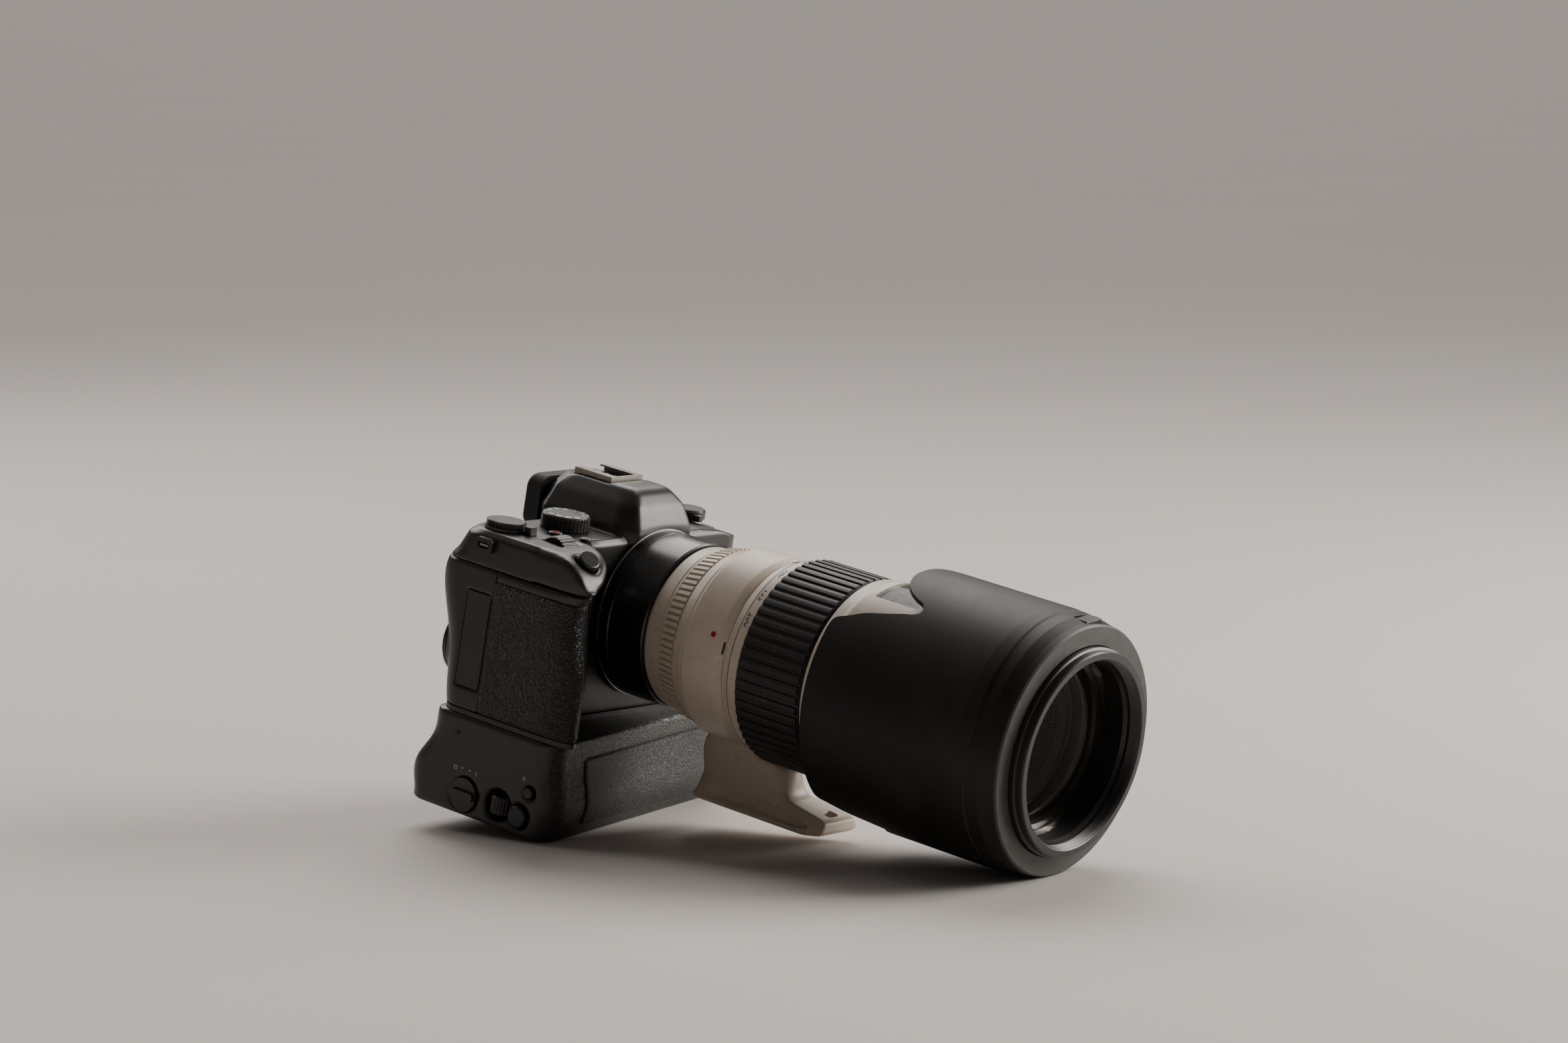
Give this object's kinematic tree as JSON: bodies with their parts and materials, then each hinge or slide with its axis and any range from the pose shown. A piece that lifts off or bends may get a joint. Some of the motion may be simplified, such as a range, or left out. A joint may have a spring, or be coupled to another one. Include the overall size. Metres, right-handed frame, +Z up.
{
  "type": "mirrorless camera with telephoto lens",
  "caption": "Black mirrorless camera with battery grip, mount adapter and white telephoto zoom, hood reversed, resting nose down on its hood and grip.",
  "frame": {"origin": "on the table, under the middle of the camera's outer box", "axes": "+Z up, the lens points along -Y and down by 9.5 degrees, the hand grip is on the -X side"},
  "size_m": [0.1458, 0.2932, 0.1463],
  "materials": {
    "body_black": "satin moulded",
    "grip_rubber": "leather grain",
    "dial_black": "knurled satin",
    "steel": "brushed",
    "mount_chrome": "polished",
    "adapter_black": "gloss satin",
    "lens_white": "warm satin paint",
    "lens_rubber": "ribbed",
    "hood_black": "matt",
    "ring_black": "satin",
    "lens_glass": "coated",
    "window": "clear",
    "screen_glass": "gloss",
    "soft_black": "matt",
    "sensor": "coated",
    "battery": "satin"
  },
  "bodies": {
    "camera": {"adapter_barrel": "adapter_black", "base_plate": "body_black", "battery_packs": "battery", "body_mount_ring": "mount_chrome", "eyecup": "soft_black", "eyepiece_glass": "window", "front_barrel": "ring_black", "front_glass": "lens_glass", "front_shell": "body_black", "grip_rubber": "grip_rubber", "hot_shoe": "steel", "image_sensor": "sensor", "mid_barrel": "lens_white", "mount_box": "body_black", "rear_barrel": "lens_white", "rear_shell": "body_black", "strap_lugs": "steel", "top_cover": "body_black", "vgrip_housing": "body_black", "vgrip_rubber": "grip_rubber", "window_glass": "window"},
    "shutter_button": {"shutter_button": "body_black"},
    "mfn_button": {"mfn_button": "body_black"},
    "record_button": {"record_button": "body_black"},
    "menu_button": {"menu_button": "body_black"},
    "info_button": {"info_button": "body_black"},
    "af_on_button": {"af_on_button": "body_black"},
    "ae_lock_button": {"ae_lock_button": "body_black"},
    "play_button": {"play_button": "body_black"},
    "set_button": {"set_button": "body_black"},
    "lens_release_button": {"lens_release_button": "body_black"},
    "vgrip_shutter_button": {"vgrip_shutter_button": "body_black"},
    "vgrip_mfn_button": {"vgrip_mfn_button": "body_black"},
    "main_dial": {"main_dial": "dial_black"},
    "mode_dial": {"mode_dial": "dial_black"},
    "rear_top_dial": {"rear_top_dial": "dial_black"},
    "power_lever": {"power_lever": "dial_black"},
    "photo_movie_lever": {"photo_movie_lever": "dial_black"},
    "quick_dial": {"quick_dial": "dial_black"},
    "joystick": {"joystick": "dial_black"},
    "vgrip_dial": {"vgrip_dial": "dial_black"},
    "vgrip_power_lever": {"vgrip_power_lever": "dial_black"},
    "vgrip_clamp_wheel": {"vgrip_clamp_wheel": "dial_black"},
    "card_door": {"card_door": "body_black"},
    "terminal_cover": {"terminal_cover": "body_black"},
    "screen": {"screen_panel": "body_black", "screen_glass": "screen_glass"},
    "vgrip_door": {"vgrip_door": "body_black"},
    "adapter_release": {"adapter_release": "adapter_black"},
    "collar": {"tripod_collar": "lens_white"},
    "collar_knob": {"collar_knob": "ring_black"},
    "zoom_ring": {"zoom_ring": "lens_white", "zoom_rubber": "lens_rubber"},
    "zoom_group": {"zoom_group": "lens_glass"},
    "focus_ring": {"focus_ring": "lens_rubber"},
    "focus_group": {"focus_group": "lens_glass"},
    "focus_switch": {"focus_switch": "ring_black"},
    "stabiliser_switch": {"stabiliser_switch": "ring_black"},
    "hood": {"hood": "hood_black"},
    "hood_button": {"hood_button": "hood_black"}
  },
  "joints": [
    {"name": "shutter_press", "type": "slide", "parent": "camera", "child": "shutter_button", "axis": [0.1327, 0.7044, -0.6972], "range_m": [0, 0.0012], "stiffness_N_per_m": 400},
    {"name": "mfn_press", "type": "slide", "parent": "camera", "child": "mfn_button", "axis": [-0.0247, 0.165, -0.986], "range_m": [0, 0.0006], "stiffness_N_per_m": 400},
    {"name": "record_press", "type": "slide", "parent": "camera", "child": "record_button", "axis": [-0.0247, 0.165, -0.986], "range_m": [0, 0.0006], "stiffness_N_per_m": 400},
    {"name": "menu_press", "type": "slide", "parent": "camera", "child": "menu_button", "axis": [-0.0041, -0.9863, -0.165], "range_m": [0, 0.0006], "stiffness_N_per_m": 400},
    {"name": "info_press", "type": "slide", "parent": "camera", "child": "info_button", "axis": [-0.0041, -0.9863, -0.165], "range_m": [0, 0.0006], "stiffness_N_per_m": 400},
    {"name": "af_on_press", "type": "slide", "parent": "camera", "child": "af_on_button", "axis": [-0.0041, -0.9863, -0.165], "range_m": [0, 0.0006], "stiffness_N_per_m": 400},
    {"name": "ae_lock_press", "type": "slide", "parent": "camera", "child": "ae_lock_button", "axis": [-0.0041, -0.9863, -0.165], "range_m": [0, 0.0006], "stiffness_N_per_m": 400},
    {"name": "play_press", "type": "slide", "parent": "camera", "child": "play_button", "axis": [-0.0041, -0.9863, -0.165], "range_m": [0, 0.0006], "stiffness_N_per_m": 400},
    {"name": "set_press", "type": "slide", "parent": "camera", "child": "set_button", "axis": [-0.0041, -0.9863, -0.165], "range_m": [0, 0.0008], "stiffness_N_per_m": 400},
    {"name": "lens_release_press", "type": "slide", "parent": "camera", "child": "lens_release_button", "axis": [0.0041, 0.9863, 0.165], "range_m": [0, 0.0005], "stiffness_N_per_m": 400},
    {"name": "vgrip_shutter_press", "type": "slide", "parent": "camera", "child": "vgrip_shutter_button", "axis": [0.9997, 0, -0.0251], "range_m": [0, 0.0012], "stiffness_N_per_m": 400},
    {"name": "vgrip_mfn_press", "type": "slide", "parent": "camera", "child": "vgrip_mfn_button", "axis": [0.9997, 0, -0.0251], "range_m": [0, 0.0006], "stiffness_N_per_m": 400},
    {"name": "main_dial_turn", "type": "hinge", "parent": "camera", "child": "main_dial", "pos_m": [-0.04881, 0.08132, 0.11719], "axis": [0.9997, 0, -0.0251], "continuous": true},
    {"name": "mode_dial_turn", "type": "hinge", "parent": "camera", "child": "mode_dial", "pos_m": [-0.02613, 0.09753, 0.124], "axis": [0.0247, -0.165, 0.986], "continuous": true},
    {"name": "rear_top_dial_turn", "type": "hinge", "parent": "camera", "child": "rear_top_dial", "pos_m": [-0.05559, 0.10433, 0.12588], "axis": [0.0247, -0.165, 0.986], "continuous": true},
    {"name": "power_turn", "type": "hinge", "parent": "camera", "child": "power_lever", "pos_m": [-0.05559, 0.10433, 0.12588], "axis": [0.0247, -0.165, 0.986], "range_deg": [0, 40]},
    {"name": "photo_movie_turn", "type": "hinge", "parent": "camera", "child": "photo_movie_lever", "pos_m": [0.05431, 0.09615, 0.12053], "axis": [0.0247, -0.165, 0.986], "range_deg": [0, 35]},
    {"name": "quick_dial_turn", "type": "hinge", "parent": "camera", "child": "quick_dial", "pos_m": [-0.05011, 0.12879, 0.07709], "axis": [0.0041, 0.9863, 0.165], "continuous": true},
    {"name": "joystick_tilt", "type": "hinge", "parent": "camera", "child": "joystick", "pos_m": [-0.04571, 0.12838, 0.10125], "axis": [0.9997, 0, -0.0251], "range_deg": [-7, 7], "stiffness_Nm_per_rad": 0.05},
    {"name": "vgrip_dial_turn", "type": "hinge", "parent": "camera", "child": "vgrip_dial", "pos_m": [-0.06711, 0.09587, 0.01369], "axis": [0.0247, -0.165, 0.986], "continuous": true},
    {"name": "vgrip_power_turn", "type": "hinge", "parent": "camera", "child": "vgrip_power_lever", "pos_m": [-0.07065, 0.11443, 0.01618], "axis": [-0.9997, 0, 0.0251], "range_deg": [0, 45]},
    {"name": "vgrip_clamp_turn", "type": "hinge", "parent": "camera", "child": "vgrip_clamp_wheel", "pos_m": [0.03483, 0.1252, 0.04191], "axis": [0.0247, -0.165, 0.986], "continuous": true},
    {"name": "card_door_swing", "type": "hinge", "parent": "camera", "child": "card_door", "pos_m": [-0.0686, 0.11725, 0.08171], "axis": [-0.0247, 0.165, -0.986], "range_deg": [0, 100]},
    {"name": "terminal_cover_swing", "type": "hinge", "parent": "camera", "child": "terminal_cover", "pos_m": [0.06978, 0.11159, 0.07932], "axis": [0.0247, -0.165, 0.986], "range_deg": [0, 100]},
    {"name": "screen_swing", "type": "hinge", "parent": "camera", "child": "screen", "pos_m": [0.05387, 0.12308, 0.08317], "axis": [-0.0247, 0.165, -0.986], "range_deg": [0, 170]},
    {"name": "vgrip_door_swing", "type": "hinge", "parent": "camera", "child": "vgrip_door", "pos_m": [0.06764, 0.11524, 0.00605], "axis": [0.0041, 0.9863, 0.165], "range_deg": [0, 85]},
    {"name": "adapter_release_slide", "type": "slide", "parent": "camera", "child": "adapter_release", "axis": [0.0247, -0.165, 0.986], "range_m": [0, 0.0018], "stiffness_N_per_m": 400},
    {"name": "collar_turn", "type": "hinge", "parent": "camera", "child": "collar", "pos_m": [0.0097, 0.0215, 0.07691], "axis": [0.0041, 0.9863, 0.165], "continuous": true},
    {"name": "collar_knob_turn", "type": "hinge", "parent": "collar", "child": "collar_knob", "pos_m": [0.05269, 0.02249, 0.076], "axis": [0.9997, 0, -0.0251], "continuous": true},
    {"name": "zoom_turn", "type": "hinge", "parent": "camera", "child": "zoom_ring", "pos_m": [0.00956, -0.01203, 0.0713], "axis": [-0.0041, -0.9863, -0.165], "range_deg": [0, 70]},
    {"name": "zoom_group_slide", "type": "slide", "parent": "camera", "child": "zoom_group", "axis": [-0.0041, -0.9863, -0.165], "range_m": [0, 0.045]},
    {"name": "focus_turn", "type": "hinge", "parent": "camera", "child": "focus_ring", "pos_m": [0.00921, -0.09586, 0.05728], "axis": [-0.0041, -0.9863, -0.165], "range_deg": [0, 90]},
    {"name": "focus_group_slide", "type": "slide", "parent": "camera", "child": "focus_group", "axis": [-0.0041, -0.9863, -0.165], "range_m": [0, 0.012]},
    {"name": "focus_switch_slide", "type": "slide", "parent": "camera", "child": "focus_switch", "axis": [-0.0041, -0.9863, -0.165], "range_m": [0, 0.007]},
    {"name": "stabiliser_switch_slide", "type": "slide", "parent": "camera", "child": "stabiliser_switch", "axis": [-0.0041, -0.9863, -0.165], "range_m": [0, 0.007]},
    {"name": "hood_turn", "type": "hinge", "parent": "camera", "child": "hood", "pos_m": [0.00907, -0.1294, 0.05167], "axis": [0.0041, 0.9863, 0.165], "range_deg": [0, 30]},
    {"name": "hood_button_press", "type": "slide", "parent": "hood", "child": "hood_button", "axis": [0.0799, 0.1641, -0.9832], "range_m": [0, 0.0006], "stiffness_N_per_m": 400}
  ],
  "couplings": [
    {"joint": "zoom_group_slide", "follows": "zoom_turn", "m_per_rad": 0.036},
    {"joint": "focus_group_slide", "follows": "focus_turn", "m_per_rad": 0.0076}
  ]
}
